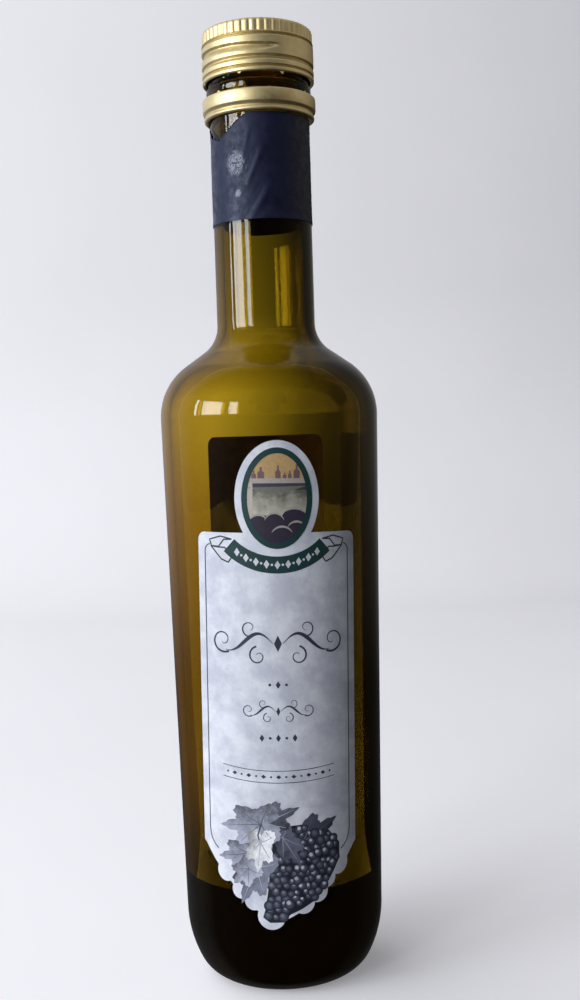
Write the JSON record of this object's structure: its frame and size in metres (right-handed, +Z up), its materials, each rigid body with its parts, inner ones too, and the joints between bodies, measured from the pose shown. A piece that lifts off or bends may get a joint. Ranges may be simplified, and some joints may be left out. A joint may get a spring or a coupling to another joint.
{
  "type": "vinegar bottle",
  "caption": "Tall round olive-green glass bottle of dark vinegar, nearly empty, with a tapered body, long neck, gold screw cap, torn dark neck sleeve and paper labels",
  "frame": {"origin": "middle of the base, on the surface that the bottle stands on", "axes": "+Z up along the bottle's axis, -Y towards the front label, +X to the right as seen from the front"},
  "size_m": [0.067, 0.0672, 0.2894],
  "materials": {
    "glass": "clear olive-green container glass",
    "vinegar": "nearly black, clear liquid",
    "cap_metal": "pale gold lacquer, satin",
    "sleeve": "very dark blue shrunk film, half gloss, creased",
    "label_paper": null
  },
  "bodies": {
    "root": {"glass_bottle": "glass", "vinegar": "vinegar", "screw_cap": "cap_metal", "tamper_ring": "cap_metal", "neck_sleeve": "sleeve", "front_label": "label_paper", "back_label": "label_paper"}
  },
  "joints": []
}
